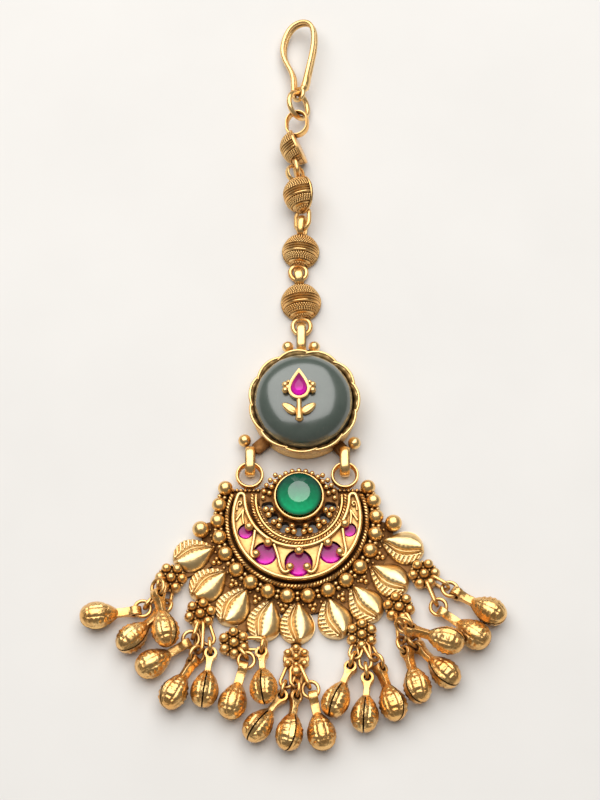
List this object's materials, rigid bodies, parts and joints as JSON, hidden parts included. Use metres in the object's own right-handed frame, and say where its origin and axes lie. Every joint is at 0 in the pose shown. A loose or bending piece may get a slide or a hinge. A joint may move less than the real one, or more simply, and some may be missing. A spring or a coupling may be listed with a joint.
{
  "type": "maang tikka",
  "caption": "Forehead ornament: hook, chain of half-ball links, round stone medallion and a crescent pendant with stone-set box, leaf border and hanging drops.",
  "frame": {"origin": "middle of the bottom face of the whole ornament's box, on the plane it lies on", "axes": "+Z out of the face that shows, +Y up the chain to the hook, +X to the right of the chain as the face is looked at"},
  "size_m": [0.0614, 0.1186, 0.0087],
  "materials": {
    "gold_plate": "antique gold plate, bright on the high places and dark in the recesses",
    "grey_green_stone": "polished domed stone",
    "green_glass": "polished facets",
    "pink_glass": "polished facets"
  },
  "bodies": {
    "root": {"hook": "gold_plate", "hook_ring": "gold_plate", "bead_1": "gold_plate", "bead_2": "gold_plate", "bead_3": "gold_plate", "bead_4": "gold_plate", "medallion_setting": "gold_plate", "flower_motif": "gold_plate", "pendant_frame": "gold_plate", "drop_01": "gold_plate", "drop_02": "gold_plate", "drop_03": "gold_plate", "drop_04": "gold_plate", "drop_05": "gold_plate", "drop_06": "gold_plate", "drop_07": "gold_plate", "drop_08": "gold_plate", "drop_09": "gold_plate", "drop_10": "gold_plate", "drop_11": "gold_plate", "drop_12": "gold_plate", "drop_13": "gold_plate", "drop_14": "gold_plate", "drop_15": "gold_plate", "drop_16": "gold_plate", "drop_17": "gold_plate", "drop_18": "gold_plate", "drop_19": "gold_plate", "drop_link_01": "gold_plate", "drop_link_02": "gold_plate", "drop_link_03": "gold_plate", "drop_link_04": "gold_plate", "drop_link_05": "gold_plate", "drop_link_06": "gold_plate", "drop_link_07": "gold_plate", "drop_link_08": "gold_plate", "drop_link_09": "gold_plate", "drop_link_10": "gold_plate", "drop_link_11": "gold_plate", "drop_link_12": "gold_plate", "drop_link_13": "gold_plate", "drop_link_14": "gold_plate", "drop_link_15": "gold_plate", "drop_link_16": "gold_plate", "drop_link_17": "gold_plate", "drop_link_18": "gold_plate", "drop_link_19": "gold_plate", "medallion_stone": "grey_green_stone", "green_stone": "green_glass", "flower_stone": "pink_glass", "pink_stone_1": "pink_glass", "pink_stone_2": "pink_glass", "pink_stone_3": "pink_glass", "pink_stone_4": "pink_glass", "pink_stone_5": "pink_glass"}
  },
  "joints": []
}
